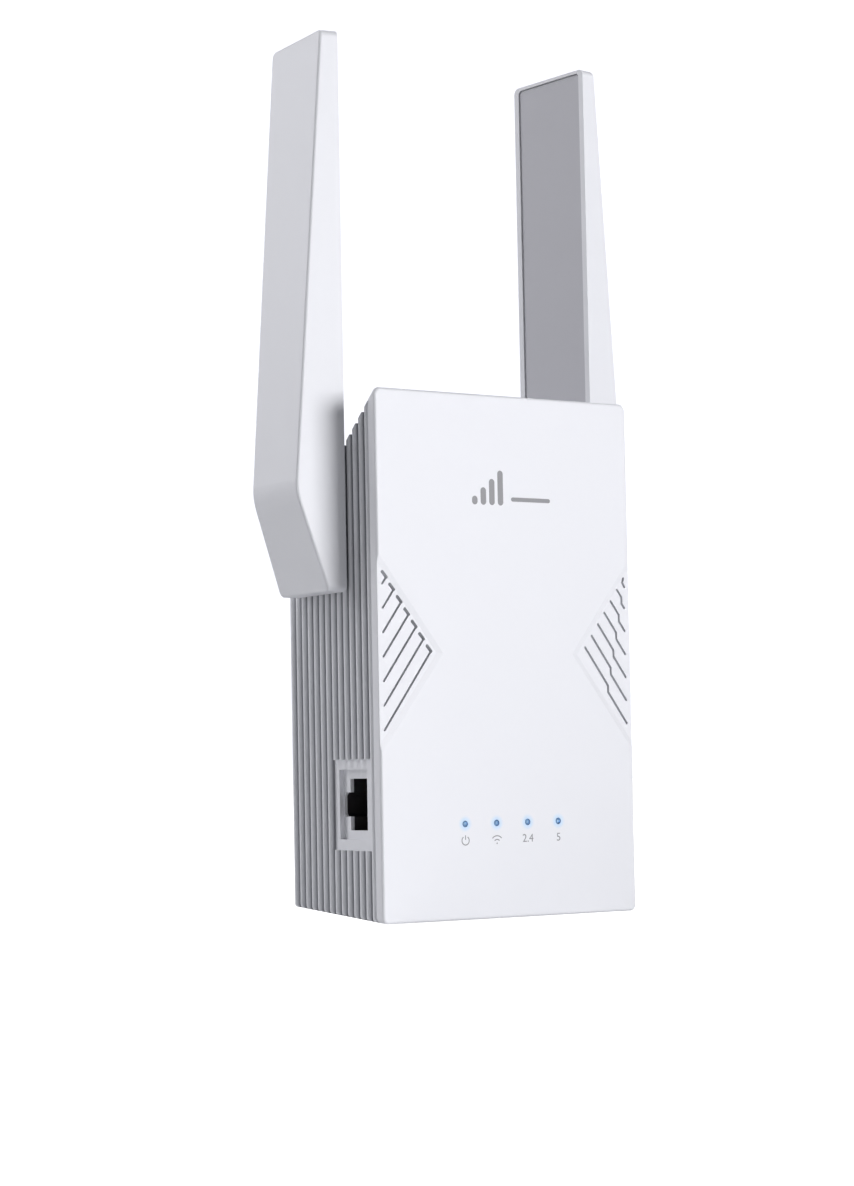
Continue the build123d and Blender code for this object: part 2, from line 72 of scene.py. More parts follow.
cad_box = [list(corner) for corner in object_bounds()]
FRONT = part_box("front_cover")[0].y
print("CAD box, mm:", [[round(v / MM, 1) for v in corner] for corner in cad_box])

# %% [markdown]
# ## Three small helpers
# Colours are picked as sRGB hex, as on a screen, while shaders work in linear light, so one function
# converts them. One function adds any node, in a material or in a Geometry Nodes tree. One function
# makes a mesh object at the origin, since every piece keeps its place in its mesh.

# %% Helpers
def linear(code):
    """An sRGB hex colour as linear RGBA."""
    parts = [int(code[i:i + 2], 16) / 255 for i in (0, 2, 4)]
    return [*(c / 12.92 if c <= 0.04045 else ((c + 0.055) / 1.055) ** 2.4 for c in parts), 1.0]


def add(tree, kind, inputs=None, **settings):
    """One node, with its settings, and each input as a value or as another node's output."""
    node = tree.nodes.new(kind)
    for name, value in settings.items():
        setattr(node, name, value)
    for key, value in (inputs or {}).items():
        if isinstance(value, bpy.types.NodeSocket):
            tree.links.new(value, node.inputs[key])
        else:
            node.inputs[key].default_value = value
    return node


def placed(name, mesh, material=None):
    """A mesh object at the origin, in the scene."""
    piece = bpy.data.objects.new(name, mesh)
    scene.collection.objects.link(piece)
    if material:
        mesh.materials.clear()
        mesh.materials.append(material)
    return piece


# %% [markdown]
# ## The camera
# The extender is looked at from its left and from a little below the middle, as it hangs in its outlet.
# A long lens keeps the upright edges nearly parallel. The frame is taller than wide.

# %% Camera
CAMERA_PLACE = (-0.386294, -0.582032, 0.007209)
AZIMUTH, RISE, ROLL = radians(34.112), radians(3.575), radians(-1.0909)
LENS = 84.13


def aim(azimuth, rise, roll):
    """The camera's turn: azimuth from +Y towards +X, rise above the horizon, roll about the view."""
    forward = Vector((sin(azimuth) * cos(rise), cos(azimuth) * cos(rise), sin(rise)))
    right = forward.cross(Vector((0, 0, 1))).normalized()
    up = right.cross(forward)
    across = right * cos(roll) + up * sin(roll)
    above = up * cos(roll) - right * sin(roll)
    return Matrix((across, above, -forward)).transposed().to_4x4()


lens = bpy.data.cameras.new("portrait_camera")
lens.lens = LENS
lens.clip_start = 0.01
camera = bpy.data.objects.new("portrait_camera", lens)
camera.matrix_world = Matrix.Translation(CAMERA_PLACE) @ aim(AZIMUTH, RISE, ROLL)
scene.collection.objects.link(camera)
scene.camera = camera
print("camera at", CAMERA_PLACE, "m, lens", LENS, "mm")

# %% [markdown]
# ## A white studio
# White goods need white light with a direction, or their edges vanish. A white card lies under the
# object, and the sky behind it is plain white. To the camera both are brighter than they are to the
# object, so the ground stays white but doesn't fill the shadows from below. A soft box stands so far to
# the right that it lights the face but not the ribbed left side. Weaker boxes at the left stand well
# back and high, so they graze the ribs: each crest catches light, and each groove stays in shade.

# %% Studio card
CARD_LOW = cad_box[0][2] - 0.002
CARD_RADIUS, CARD_SIDES = 6.0, 96
CARD_SEEN = 1.2


def studio_card():
    """A wide round floor."""
    disc = bmesh.new()
    bmesh.ops.create_circle(disc, cap_ends=True, segments=CARD_SIDES, radius=CARD_RADIUS,
                            matrix=Matrix.Translation((0, 0, CARD_LOW)))
    mesh = bpy.data.meshes.new("studio_card")
    disc.to_mesh(mesh)
    disc.free()
    return mesh


card = bpy.data.materials.new("paper_card_white")
card.use_nodes = True
card_shader = card.node_tree.nodes["Principled BSDF"]
card_shader.inputs["Base Color"].default_value = linear("F4F4F4")
card_shader.inputs["Roughness"].default_value = 0.9
card_shader.inputs["Emission Color"].default_value = linear("FFFFFF")
card_rays = add(card.node_tree, "ShaderNodeLightPath")
card_glow = add(card.node_tree, "ShaderNodeMath",
                {0: card_rays.outputs["Is Camera Ray"], 1: CARD_SEEN}, operation="MULTIPLY")
card.node_tree.links.new(card_glow.outputs[0], card_shader.inputs["Emission Strength"])
card_fibres = add(card.node_tree, "ShaderNodeTexNoise", {"Scale": 900.0, "Detail": 3.0})
card_bump = add(card.node_tree, "ShaderNodeBump",
                {"Height": card_fibres.outputs["Fac"], "Strength": 0.05, "Distance": 0.0002})
card.node_tree.links.new(card_bump.outputs["Normal"], card_shader.inputs["Normal"])
placed("studio_card", studio_card(), card)
print("card lies", round(CARD_LOW / MM, 1), "mm from the origin's height")

# %% Lights
SKY_LIGHT, SKY_SEEN = 0.1, 1.2


def soft_box(name, place, target, size, watts, tint="FFFFFF"):
    """A square area light that faces its target."""
    light = bpy.data.lights.new(name, "AREA")
    light.shape, light.size, light.energy = "SQUARE", size, watts
    light.color = linear(tint)[:3]
    holder = bpy.data.objects.new(name, light)
    away = Vector(place) - Vector(target)
    holder.matrix_world = Matrix.Translation(place) @ away.to_track_quat("Z", "Y").to_matrix().to_4x4()
    scene.collection.objects.link(holder)


HEART = Vector((0, -0.02, 0.07))
soft_box("key_front_right", (0.6, -2.1, 0.3), HEART, 0.9, 40.5, "FCFCFF")
soft_box("top_left", (-0.75, 0.9, 1.7), HEART, 0.8, 13.5, "FBFBFF")
soft_box("left_back", (-1.15, 1.6, 0.8), HEART, 0.8, 13.5, "FBFBFF")

world = bpy.data.worlds.new("studio_sky")
world.use_nodes = True
sky = world.node_tree.nodes["Background"]
sky.inputs["Color"].default_value = linear("F6F7FF")
rays = add(world.node_tree, "ShaderNodeLightPath")
strength = add(world.node_tree, "ShaderNodeMapRange", {"Value": rays.outputs["Is Camera Ray"],
                                                       "To Min": SKY_LIGHT, "To Max": SKY_SEEN})
world.node_tree.links.new(strength.outputs["Result"], sky.inputs["Strength"])
scene.world = world
scene.view_settings.view_transform = "Standard"

# %% [markdown]
# ## One recipe for a surface
# Every real surface has a grain: the spark-eroded texture of a mould, the drawing lines of a metal, the
# fibre of a laminate. The recipe takes that grain's size in millimetres, lets it shift the colour and
# the gloss a little and raises a bump from it. Each finish below is one call, plus what is special.

# %% The surface recipe
CLOUD_SCALE = 60.0   # colour clouds about 17 mm across


def surface(name, tint, rough, grain_mm, bump_mm, shade=0.06, stretch=(1, 1, 1), **sockets):
    """A Principled material whose noise grain is grain_mm across and bump_mm deep."""
    made = bpy.data.materials.new(name)
    made.use_nodes = True
    tree = made.node_tree
    shader = tree.nodes["Principled BSDF"]
    place = add(tree, "ShaderNodeTexCoord")
    mapped = add(tree, "ShaderNodeMapping", {"Vector": place.outputs["Object"], "Scale": stretch})
    grain = add(tree, "ShaderNodeTexNoise",
                {"Vector": mapped.outputs["Vector"], "Scale": 1 / (grain_mm * MM), "Detail": 4.0})
    cloud = add(tree, "ShaderNodeTexNoise",
                {"Vector": place.outputs["Object"], "Scale": CLOUD_SCALE, "Detail": 2.0})
    light = linear(tint)
    dark = [c * (1 - shade) for c in light[:3]] + [1.0]
    blend = add(tree, "ShaderNodeMix", {"Factor": cloud.outputs["Fac"], "A": dark, "B": light},
                data_type="RGBA")
    fleck = add(tree, "ShaderNodeMix",
                {"Factor": grain.outputs["Fac"], "A": blend.outputs["Result"], "B": light}, data_type="RGBA")
    gloss = add(tree, "ShaderNodeMapRange",
                {"Value": grain.outputs["Fac"], "From Min": 0.3, "From Max": 0.7,
                 "To Min": rough * 0.85, "To Max": min(1.0, rough * 1.15)})
    bump = add(tree, "ShaderNodeBump",
               {"Height": grain.outputs["Fac"], "Strength": 1.0, "Distance": bump_mm * MM})
    tree.links.new(fleck.outputs["Result"], shader.inputs["Base Color"])
    tree.links.new(gloss.outputs["Result"], shader.inputs["Roughness"])
    tree.links.new(bump.outputs["Normal"], shader.inputs["Normal"])
    for key, value in sockets.items():
        shader.inputs[key.replace("_", " ")].default_value = value
    return made


def parts_of(made):
    """The node tree, the shader and the object coordinates of a material from the recipe."""
    tree = made.node_tree
    return tree, tree.nodes["Principled BSDF"], tree.nodes["Texture Coordinate"].outputs["Object"]


# %% [markdown]
# ## Finishes of the outside
# The case and the aerials are white ABS from a finely spark-eroded mould: matt, with a soft wide
# highlight. The cover panels of the aerials come from a second tool and are a little greyer.

# %% Outside finishes
CASE_WHITE = "EDEEF1"


def moulded_abs(name="abs_moulded_white"):
    # ABS, injection moulded: a faint matt grain, and almost no change of colour
    return surface(name, CASE_WHITE, 0.46, 0.22, 0.004, shade=0.012, IOR=1.53)


def textured_abs():
    # ABS with a coarser spark-eroded texture: greyer, and it holds no clear reflection
    return surface("abs_textured_grey", "C9C9CE", 0.58, 0.3, 0.008, shade=0.02, IOR=1.53)


def insulator():
    # PBT, moulded: harder and a little warmer than the case
    return surface("pbt_moulded_white", "E4E3DF", 0.38, 0.2, 0.003, shade=0.03, IOR=1.55)


def acetal():
    # acetal, moulded: waxy, for parts that rub
    return surface("acetal_moulded_white", "E2E2DE", 0.32, 0.25, 0.002, shade=0.03, IOR=1.48)


def label_film():
    # polyester label, silk-matt
    return surface("polyester_label_silver", "C4C7CA", 0.4, 0.12, 0.001, shade=0.03, IOR=1.58)


def nickel_plate():
    # nickel over brass, stamped: drawing lines run along the blade
    return surface("nickel_plated_brass", "CFCAC0", 0.24, 0.1, 0.002, shade=0.1, stretch=(1, 0.04, 1),
                   Metallic=1.0)


def printed_ink():
    # pad-printed epoxy ink, warm grey and a little glossier than the plastic
    return surface("ink_pad_printed_grey", "8F8F91", 0.4, 0.15, 0.001, shade=0.05)


OUTSIDE = {"white_abs": moulded_abs(), "grey_white_abs": textured_abs(), "white_insulator": insulator(),
           "white_acetal": acetal(), "label_film": label_film(), "nickel_plate": nickel_plate()}
INK = printed_ink()
print("outside finishes:", ", ".join(m.name for m in OUTSIDE.values()))

# %% [markdown]
# ## Finishes of the inside
# The boards and what they carry are seen when the case is opened. Each material is named for what it
# is: solder mask over glass laminate, tinned steel cans, ferrite, sleeved capacitors.

# %% Inside finishes
SLEEVE_STRIPE_X = -13.6 * MM   # the capacitors' stripes lie left of this


def solder_mask():
    # glossy mask over glass laminate: copper tracks show through as lighter lines, 0.3 mm wide
    made = surface("solder_mask_green", "0E4A2B", 0.28, 0.3, 0.002, shade=0.1, Coat_Weight=0.6)
    tree, shader, place = parts_of(made)
    waves = [add(tree, "ShaderNodeTexWave", {"Vector": place, "Scale": 240.0, "Distortion": 0.0},
                 bands_direction=axis) for axis in ("X", "Z")]
    cells = add(tree, "ShaderNodeTexVoronoi", {"Vector": place, "Scale": 140.0}, distance="CHEBYCHEV")
    pick = add(tree, "ShaderNodeMath", {0: cells.outputs["Color"], 1: 0.5}, operation="GREATER_THAN")
    lines = add(tree, "ShaderNodeMix", {"Factor": pick.outputs[0], "A": waves[0].outputs["Fac"],
                                        "B": waves[1].outputs["Fac"]})
    track = add(tree, "ShaderNodeMath", {0: lines.outputs["Result"], 1: 0.72}, operation="GREATER_THAN")
    plain = shader.inputs["Base Color"].links[0].from_socket
    tint = add(tree, "ShaderNodeMix", {"Factor": track.outputs[0], "A": plain, "B": linear("1C6B40")},
               data_type="RGBA")
    tree.links.new(tint.outputs["Result"], shader.inputs["Base Color"])
    return made


def paper_laminate():
    # phenolic paper laminate: pressed fibre, dull and brown
    return surface("paper_laminate_tan", "A98550", 0.55, 0.4, 0.006, shade=0.2, stretch=(1, 1, 0.3))


def epoxy():
    # moulded epoxy of chips: fine matt sparkle
    return surface("epoxy_moulded_black", "1C1C1E", 0.5, 0.1, 0.002, shade=0.2)


def tinned_steel():
    # hot-tinned sheet: bright, with a faint crystal cloud
    return surface("tinned_steel_sheet", "C3C3BE", 0.3, 0.8, 0.002, shade=0.12, Metallic=1.0)


def thermal_pad():
    # soft filled silicone
    return surface("silicone_pad_blue", "8499A6", 0.75, 0.25, 0.01, shade=0.1)


def extruded_aluminium():
    # extruded: die lines run up the fins
    return surface("aluminium_extruded", "CDD0D4", 0.33, 0.12, 0.004, shade=0.12, stretch=(1, 1, 0.03),
                   Metallic=1.0)


def nylon():
    # glass-filled nylon, moulded black
    return surface("nylon_moulded_black", "29292C", 0.48, 0.15, 0.003, shade=0.2, IOR=1.53)


def gold_flash():
    # gold over nickel on spring wire
    return surface("gold_flash_wire", "D8AE5A", 0.2, 0.08, 0.001, shade=0.08, Metallic=1.0)


def ferrite():
    # sintered and ground: dark with pits
    return surface("ferrite_sintered", "2E2D2F", 0.6, 0.35, 0.02, shade=0.3)


def winding_tape():
    # yellow polyester tape over the windings: smooth, with a clear backing
    return surface("polyester_tape_yellow", "D6B12C", 0.3, 0.5, 0.004, shade=0.1, Coat_Weight=0.3)


def capacitor_sleeve():
    # shrunk PVC over an aluminium can, with the pale stripe of the negative side
    made = surface("pvc_sleeve_navy", "1B2340", 0.25, 0.4, 0.003, shade=0.1)
    tree, shader, place = parts_of(made)
    split = add(tree, "ShaderNodeSeparateXYZ", {"Vector": place})
    side = add(tree, "ShaderNodeMath", {0: split.outputs["X"], 1: SLEEVE_STRIPE_X}, operation="LESS_THAN")
    plain = shader.inputs["Base Color"].links[0].from_socket
    tint = add(tree, "ShaderNodeMix", {"Factor": side.outputs[0], "A": plain, "B": linear("B9BCC4")},
               data_type="RGBA")
    tree.links.new(tint.outputs["Result"], shader.inputs["Base Color"])
    return made


def enamelled_copper():
    # copper under clear amber enamel
    return surface("copper_enamelled", "B3622F", 0.22, 0.3, 0.001, shade=0.15, Metallic=0.9,
                   Coat_Weight=0.7)


def ceramic():
    # glazed steatite tube
    return surface("ceramic_glazed_cream", "D8CFB8", 0.22, 0.5, 0.002, shade=0.06)


def fish_paper():
    # thin milky polyester sheet between the boards
    return surface("polyester_sheet_milky", "D4D4C9", 0.45, 0.3, 0.002, shade=0.05,
                   Transmission_Weight=0.35)


def zinc_plate():
    # bright zinc over turned steel
    return surface("zinc_plated_steel", "B9BCC2", 0.3, 0.1, 0.002, shade=0.12, Metallic=1.0)


def sheath():
    # extruded PVC over a braid, which just shows as a fine rib
    return surface("pvc_sheath_grey", "5A5A5D", 0.42, 0.1, 0.01, shade=0.1)


def acrylic():
    # polished acrylic: clear, faintly blue where the light runs in it
    return surface("acrylic_clear", "DCEBFA", 0.08, 0.6, 0.0005, shade=0.02, Transmission_Weight=0.95,
                   IOR=1.49)


def lit_die():
    # the lamp itself under its resin: bright blue
    return surface("led_lit_blue", "6FB2FF", 0.3, 0.1, 0.001, Emission_Color=linear("3E9BFF"),
                   Emission_Strength=6.0)


INSIDE = {"green_laminate": solder_mask(), "tan_laminate": paper_laminate(), "black_epoxy": epoxy(),
          "tinned_steel": tinned_steel(), "thermal_silicone": thermal_pad(),
          "aluminium_fins": extruded_aluminium(), "black_nylon": nylon(), "gold_contact": gold_flash(),
          "ferrite": ferrite(), "yellow_tape": winding_tape(), "capacitor_sleeve": capacitor_sleeve(),
          "copper_winding": enamelled_copper(), "fuse_ceramic": ceramic(), "insulating_film": fish_paper(),
          "zinc_steel": zinc_plate(), "grey_sheath": sheath(), "clear_acrylic": acrylic(),
          "blue_led": lit_die()}
print("inside finishes:", len(INSIDE))

# %% Give every CAD piece its finish
FINISH = {**OUTSIDE, **INSIDE}
for row in frame["record"]["subparts"]:
    mesh = nodes[row["node"]].data
    mesh.materials.clear()
    mesh.materials.append(FINISH[row["material_slot"]])

# %% [markdown]
# ## Making what repeats
# Lamp lenses, solder legs, wire turns and chip capacitors come in rows and rings. A Geometry Nodes tree
# with a named input for each size makes each kind once, and its result is kept as a plain mesh, since
# an exported model can't hold instances. A shape that isn't repeated is built directly with bmesh.

# %% Geometry Nodes helpers
def new_tree(name, **sizes):
    """An empty geometry tree with one named number input for each size, and the outputs of its input node.
    """
    tree = bpy.data.node_groups.new(name, "GeometryNodeTree")
    tree.interface.new_socket("Geometry", in_out="OUTPUT", socket_type="NodeSocketGeometry")
    for key, value in sizes.items():
        kind = "NodeSocketInt" if isinstance(value, int) else "NodeSocketFloat"
        tree.interface.new_socket(key, in_out="INPUT", socket_type=kind)
    return tree, add(tree, "NodeGroupInput").outputs


def finish_tree(tree, geometry, material):
    """Realize Instances, Set Material, and out."""
    real = add(tree, "GeometryNodeRealizeInstances", {"Geometry": geometry})
    smooth = add(tree, "GeometryNodeSetShadeSmooth", {"Geometry": real.outputs[0]})
    dressed = add(tree, "GeometryNodeSetMaterial", {"Geometry": smooth.outputs[0], "Material": material})
    add(tree, "NodeGroupOutput", {"Geometry": dressed.outputs[0]})


def grow(name, tree, place=None, **sizes):
    """Runs a tree with these sizes, and keeps the result as a plain mesh at its place."""
    piece = placed(name, bpy.data.meshes.new(name))
    modifier = piece.modifiers.new("grow", "NODES")
    modifier.node_group = tree
    for item in tree.interface.items_tree:
        if item.in_out == "INPUT":
            modifier[item.identifier] = sizes[item.name]
    plain = bpy.data.meshes.new_from_object(piece.evaluated_get(bpy.context.evaluated_depsgraph_get()))
    piece.modifiers.clear()
    piece.data = plain
    if place is not None:
        plain.transform(place)
    return piece


def joined(name, pieces):
    """Several pieces as one, under one name."""
    with bpy.context.temp_override(active_object=pieces[0], selected_editable_objects=pieces):
        bpy.ops.object.join()
    pieces[0].name = pieces[0].data.name = name
    return pieces[0]


def belongs(piece, body):
    """Says which body a piece moves with, and prints its size."""
    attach(piece, body)
    size = [round(v / MM, 1) for v in piece.dimensions]
    print(f"{piece.name}: {len(piece.data.polygons)} faces, {size} mm, on {body}")


# %% [markdown]
# ## Status lamps
# Each light pipe ends in a small lens in the front face, lit blue from behind. The lens is a shallow
# bead set in its hole. Round each hole the light would soak a little way into the white plastic; that
# glow is painted light in the cover's colour: a soft pale blue ring round each lamp, worked out from the
# lamp spacing.

# %% Lamp lenses
LAMP_PITCH, LAMP_RADIUS, LAMP_COUNT = 9.07 * MM, 0.72 * MM, 4
LAMP_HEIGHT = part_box("status_lights")[0].z + 0.5 * MM
LENS_DEPTH, LENS_SUNK = 0.5 * MM, 0.02 * MM


def lit_lens():
    # clear acrylic with pale blue light in it
    return surface("acrylic_lit_blue", "8FB2CE", 0.12, 0.5, 0.0005, Emission_Color=linear("5E9AD0"),
                   Emission_Strength=0.2, Coat_Weight=0.4)


def lens_tree():
    tree, size = new_tree("lens_row", Count=4, Pitch=0.1, Radius=0.1, Depth=0.1)
    step = add(tree, "ShaderNodeCombineXYZ", {"X": size["Pitch"]})
    row = add(tree, "GeometryNodeMeshLine", {"Count": size["Count"], "Offset": step.outputs[0]})
    bead = add(tree, "GeometryNodeMeshUVSphere", {"Segments": 32, "Rings": 16, "Radius": 1.0})
    shape = add(tree, "ShaderNodeCombineXYZ",
                {"X": size["Radius"], "Y": size["Depth"], "Z": size["Radius"]})
    rows = add(tree, "GeometryNodeInstanceOnPoints",
               {"Points": row.outputs[0], "Instance": bead.outputs[0], "Scale": shape.outputs[0]})
    finish_tree(tree, rows.outputs[0], lit_lens())
    return tree


first_lamp = Vector((-LAMP_PITCH * (LAMP_COUNT - 1) / 2, FRONT + LENS_DEPTH + LENS_SUNK, LAMP_HEIGHT))
lenses = grow("status_lenses", lens_tree(), Matrix.Translation(first_lamp),
              Count=LAMP_COUNT, Pitch=LAMP_PITCH, Radius=LAMP_RADIUS, Depth=LENS_DEPTH)
belongs(lenses, "case")

# %% Painted lamp glow in the cover
GLOW_REACH = 2.3 * MM


def painted_lamp_glow_abs():
    # the same white ABS, with painted light: a pale blue ring round each lamp where thin plastic glows
    made = moulded_abs("abs_moulded_white_painted_glow")
    tree, shader, place = parts_of(made)
    split = add(tree, "ShaderNodeSeparateXYZ", {"Vector": place})
    spaced = add(tree, "ShaderNodeMath", {0: split.outputs["X"], 1: LAMP_PITCH}, operation="PINGPONG")
    across = add(tree, "ShaderNodeMath", {0: spaced.outputs[0], 1: LAMP_PITCH / 2}, operation="SUBTRACT")
    above = add(tree, "ShaderNodeMath", {0: split.outputs["Z"], 1: LAMP_HEIGHT}, operation="SUBTRACT")
    flat = add(tree, "ShaderNodeCombineXYZ", {"X": across.outputs[0], "Z": above.outputs[0]})
    far = add(tree, "ShaderNodeVectorMath", {0: flat.outputs[0]}, operation="LENGTH")
    glow = add(tree, "ShaderNodeMapRange", {"Value": far.outputs["Value"], "From Min": LAMP_RADIUS * 0.8,
                                            "From Max": GLOW_REACH, "To Min": 1.0, "To Max": 0.0},
               interpolation_type="SMOOTHERSTEP")
    inside = add(tree, "ShaderNodeMath", {0: split.outputs["X"]}, operation="ABSOLUTE")
    near = add(tree, "ShaderNodeMath", {0: inside.outputs[0], 1: LAMP_PITCH * 2}, operation="LESS_THAN")
    amount = add(tree, "ShaderNodeMath", {0: glow.outputs["Result"], 1: near.outputs[0]},
                 operation="MULTIPLY")
    plain = shader.inputs["Base Color"].links[0].from_socket
    # the pale blue of the painted lamp glow
    tint = add(tree, "ShaderNodeMix", {"Factor": amount.outputs[0], "A": plain, "B": linear("CFE6FB")},
               data_type="RGBA")
    tree.links.new(tint.outputs["Result"], shader.inputs["Base Color"])
    return made


nodes["front_cover"].data.materials[0] = painted_lamp_glow_abs()
print("glow reaches", round(GLOW_REACH / MM, 1), "mm from each lamp")

# %% [markdown]
# ## Painted shade in the grooves
# White plastic scatters so much light that shallow grooves wash out. So shade is painted into the
# housing's colour, greyer towards the groove floors: painted shade, not a second material. How deep a
# point lies under the leaning side of the case follows from its own place, so the painted shade meets
# the ribs. The flat pocket round the socket is left light.

# %% Painted groove shade
HALF_WIDTH, SIDE_LEAN = 37.0 * MM, tan(radians(4.5))
SHADE_FROM, SHADE_FULL, SKIN = 0.3 * MM, 1.0 * MM, 1.6 * MM
POCKET_MIDDLE, POCKET_HALF = (-30.6 * MM, -1.55 * MM), (9.3 * MM, 10.8 * MM)


def painted_groove_shade_abs():
    # the same white ABS, with painted shade: greyer where a groove keeps the light out
    made = moulded_abs("abs_moulded_white_painted_groove_shade")
    tree, shader, place = parts_of(made)
    split = add(tree, "ShaderNodeSeparateXYZ", {"Vector": place})
    x, y, z = split.outputs

    # how far a point lies under the side plane, which leans in towards the wall
    side = add(tree, "ShaderNodeMath", {0: x}, operation="ABSOLUTE")
    lean = add(tree, "ShaderNodeMath", {0: y, 1: -FRONT}, operation="ADD")
    plane = add(tree, "ShaderNodeMath", {0: lean.outputs[0], 1: -SIDE_LEAN, 2: HALF_WIDTH},
                operation="MULTIPLY_ADD")
    under = add(tree, "ShaderNodeMath", {0: plane.outputs[0], 1: side.outputs[0]}, operation="SUBTRACT")
    shaded = add(tree, "ShaderNodeMapRange",
                 {"Value": under.outputs[0], "From Min": SHADE_FROM, "From Max": SHADE_FULL})

    # the painted shade goes only on the outer skin, and not on the pocket on the left
    outer = add(tree, "ShaderNodeMath", {0: under.outputs[0], 1: SKIN}, operation="LESS_THAN")
    in_y = add(tree, "ShaderNodeMath", {0: y, 1: POCKET_MIDDLE[0], 2: POCKET_HALF[0]}, operation="COMPARE")
    in_z = add(tree, "ShaderNodeMath", {0: z, 1: POCKET_MIDDLE[1], 2: POCKET_HALF[1]}, operation="COMPARE")
    left = add(tree, "ShaderNodeMath", {0: x, 1: 0.0}, operation="LESS_THAN")
    both = add(tree, "ShaderNodeMath", {0: in_y.outputs[0], 1: in_z.outputs[0]}, operation="MULTIPLY")
    pocket = add(tree, "ShaderNodeMath", {0: both.outputs[0], 1: left.outputs[0]}, operation="MULTIPLY")
    free = add(tree, "ShaderNodeMath", {0: outer.outputs[0], 1: pocket.outputs[0]},
               operation="SUBTRACT", use_clamp=True)
    amount = add(tree, "ShaderNodeMath", {0: shaded.outputs["Result"], 1: free.outputs[0]},
                 operation="MULTIPLY")
    plain = shader.inputs["Base Color"].links[0].from_socket
    # the grey of the painted shade at the groove floors
    tint = add(tree, "ShaderNodeMix", {"Factor": amount.outputs[0], "A": plain, "B": linear("A2A3A8")},
               data_type="RGBA")
    tree.links.new(tint.outputs["Result"], shader.inputs["Base Color"])
    return made


nodes["rear_housing"].data.materials[0] = painted_groove_shade_abs()
print("grooves are toned down on the case's sides")

# %% [markdown]
# ## Printed marks
# Under each lamp is a small pad-printed mark: a power sign, a signal fan, and the two band numbers. High
# on the face stands a plain badge of rising bars. Ink is thin, so each mark is a plate of a few
# hundredths of a millimetre that stands just proud of the face. A band of a ring, a bar with round ends
# and a numeral make every mark, so three small functions are enough.

# %% Marks
INK_HIGH, INK_SUNK = 0.012 * MM, 0.03 * MM
FACE_SIZE = 1.35   # size of the built-in face for a numeral one unit tall


def plate(loops):
    """Closed outlines in X and Z, in metres, raised into thin plates on the front face."""
    build = bmesh.new()
    for loop in loops:
        face = build.faces.new([build.verts.new((x, FRONT + INK_SUNK, z)) for x, z in loop])
        raised = bmesh.ops.extrude_face_region(build, geom=[face])["geom"]
        bmesh.ops.translate(build, vec=(0, -INK_SUNK - INK_HIGH, 0),
                            verts=[v for v in raised if isinstance(v, bmesh.types.BMVert)])
    bmesh.ops.recalc_face_normals(build, faces=build.faces)
    mesh = bpy.data.meshes.new("mark")
    build.to_mesh(mesh)
    build.free()
    return placed("mark", mesh, INK)


def ring_band(x, z, inner, outer, start, end, steps=28):
    """Part of a ring about (x, z), between two angles in degrees from +X towards +Z."""
    turns = [radians(start + (end - start) * k / steps) for k in range(steps + 1)]
    outside = [(x + outer * cos(t), z + outer * sin(t)) for t in turns]
    return outside + [(x + inner * cos(t), z + inner * sin(t)) for t in reversed(turns)]


def pill(x, z, width, height):
    """An upright or lying bar with round ends."""
    r = min(width, height) / 2
    a, b = width / 2 - r, height / 2 - r
    corners = [(a, b, 0), (-a, b, 90), (-a, -b, 180), (a, -b, 270)]
    return [(x + dx + r * cos(radians(start + turn)), z + dz + r * sin(radians(start + turn)))
            for dx, dz, start in corners for turn in (0, 22, 45, 68, 90)]


def numeral(text, x, z, height):
    """A generic numeral in the plain built-in face, centred on (x, z)."""
    curve = bpy.data.curves.new("numeral", "FONT")
    curve.body = text
    curve.size = height * FACE_SIZE
    curve.extrude = (INK_HIGH + INK_SUNK) / 2
    curve.align_x, curve.align_y = "CENTER", "CENTER"
    curve.resolution_u = 6
    holder = placed("numeral_curve", curve)
    mesh = bpy.data.meshes.new_from_object(holder.evaluated_get(bpy.context.evaluated_depsgraph_get()))
    bpy.data.objects.remove(holder)
    in_face = Matrix.Translation((x, FRONT + (INK_SUNK - INK_HIGH) / 2, z))
    mesh.transform(in_face @ Matrix.Rotation(pi / 2, 4, "X"))
    return placed("mark", mesh, INK)


def power_sign(x, z, radius, stroke):
    """A ring open at the top, with a bar in the gap."""
    return [ring_band(x, z, radius - stroke, radius, 125, 415),
            pill(x, z + radius * 0.62, stroke, radius * 0.95)]


def signal_fan(x, z, reach, stroke):
    """A dot and two arcs above it."""
    fan = [pill(x, z, stroke * 1.5, stroke * 1.5)]
    for share in (0.55, 1.0):
        fan.append(ring_band(x, z, reach * share - stroke, reach * share, 42, 138, steps=16))
    return fan


MARK_DROP, STROKE = 3.9 * MM, 0.24 * MM
lamps = [(k - 1.5) * LAMP_PITCH for k in range(LAMP_COUNT)]
marks = [plate(power_sign(lamps[0], LAMP_HEIGHT - MARK_DROP, 1.15 * MM, STROKE)),
         plate(signal_fan(lamps[1], LAMP_HEIGHT - MARK_DROP - 0.9 * MM, 1.9 * MM, STROKE)),
         numeral("2.4", lamps[2], LAMP_HEIGHT - MARK_DROP, 2.0 * MM),
         numeral("5", lamps[3], LAMP_HEIGHT - MARK_DROP, 2.0 * MM)]
belongs(joined("lamp_marks", marks), "case")

BADGE_X, BADGE_Z, BADGE_BAR, BADGE_STEP = -9.0 * MM, 69.0 * MM, 1.6 * MM, 2.5 * MM
badge = [pill(BADGE_X + k * BADGE_STEP, BADGE_Z + (k + 1) * 1.05 * MM, BADGE_BAR, (k + 1) * 2.1 * MM)
         for k in range(4)]
badge.append(pill(7.4 * MM, BADGE_Z + 1.6 * MM, 11.6 * MM, 1.0 * MM))
badge_plate = plate(badge)
badge_plate.name = "front_badge"
belongs(badge_plate, "case")

# %% [markdown]
# ## Wire turns of the line choke
# The choke is a ferrite ring wound with enamelled copper. Its CAD solid is only the outer shape, so a
# bare core and separate turns of wire stand for it: one rounded loop of wire, repeated round the ring.

